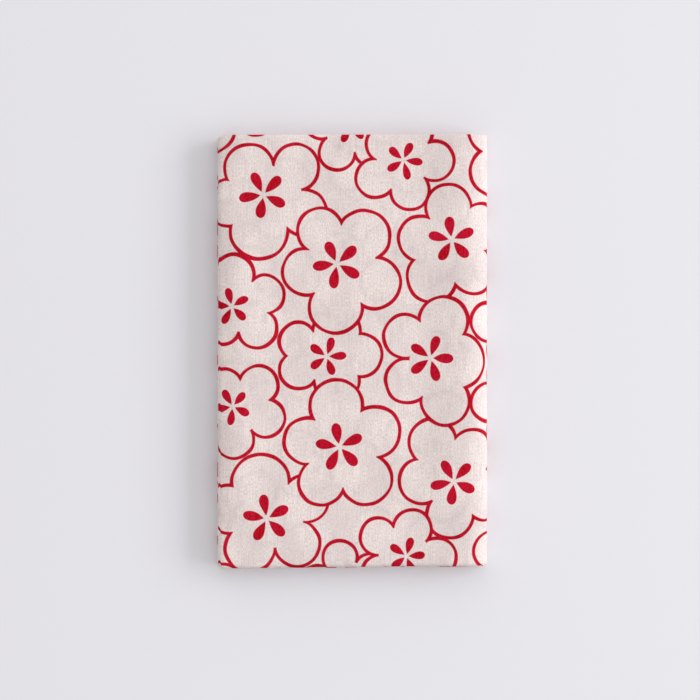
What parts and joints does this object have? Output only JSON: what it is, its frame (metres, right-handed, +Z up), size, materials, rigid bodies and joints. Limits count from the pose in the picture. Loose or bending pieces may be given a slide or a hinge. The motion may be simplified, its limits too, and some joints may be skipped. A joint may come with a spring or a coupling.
{
  "type": "folded tenugui hand towel",
  "caption": "Thin cotton hand towel, doubled along its length and folded in half again and again into a flat pile with a rounded spine, dyed with a blossom outline pattern.",
  "frame": {"origin": "middle of the pile's base, on the surface that it lies on", "axes": "+X towards the rounded spine, +Y towards the lengthwise fold, +Z up through the layers"},
  "size_m": [0.1124, 0.1794, 0.0116],
  "materials": {
    "cotton": "plain weave, matt, dyed with thin red lines"
  },
  "bodies": {
    "root": {"folded_cloth": "cotton"}
  },
  "joints": []
}
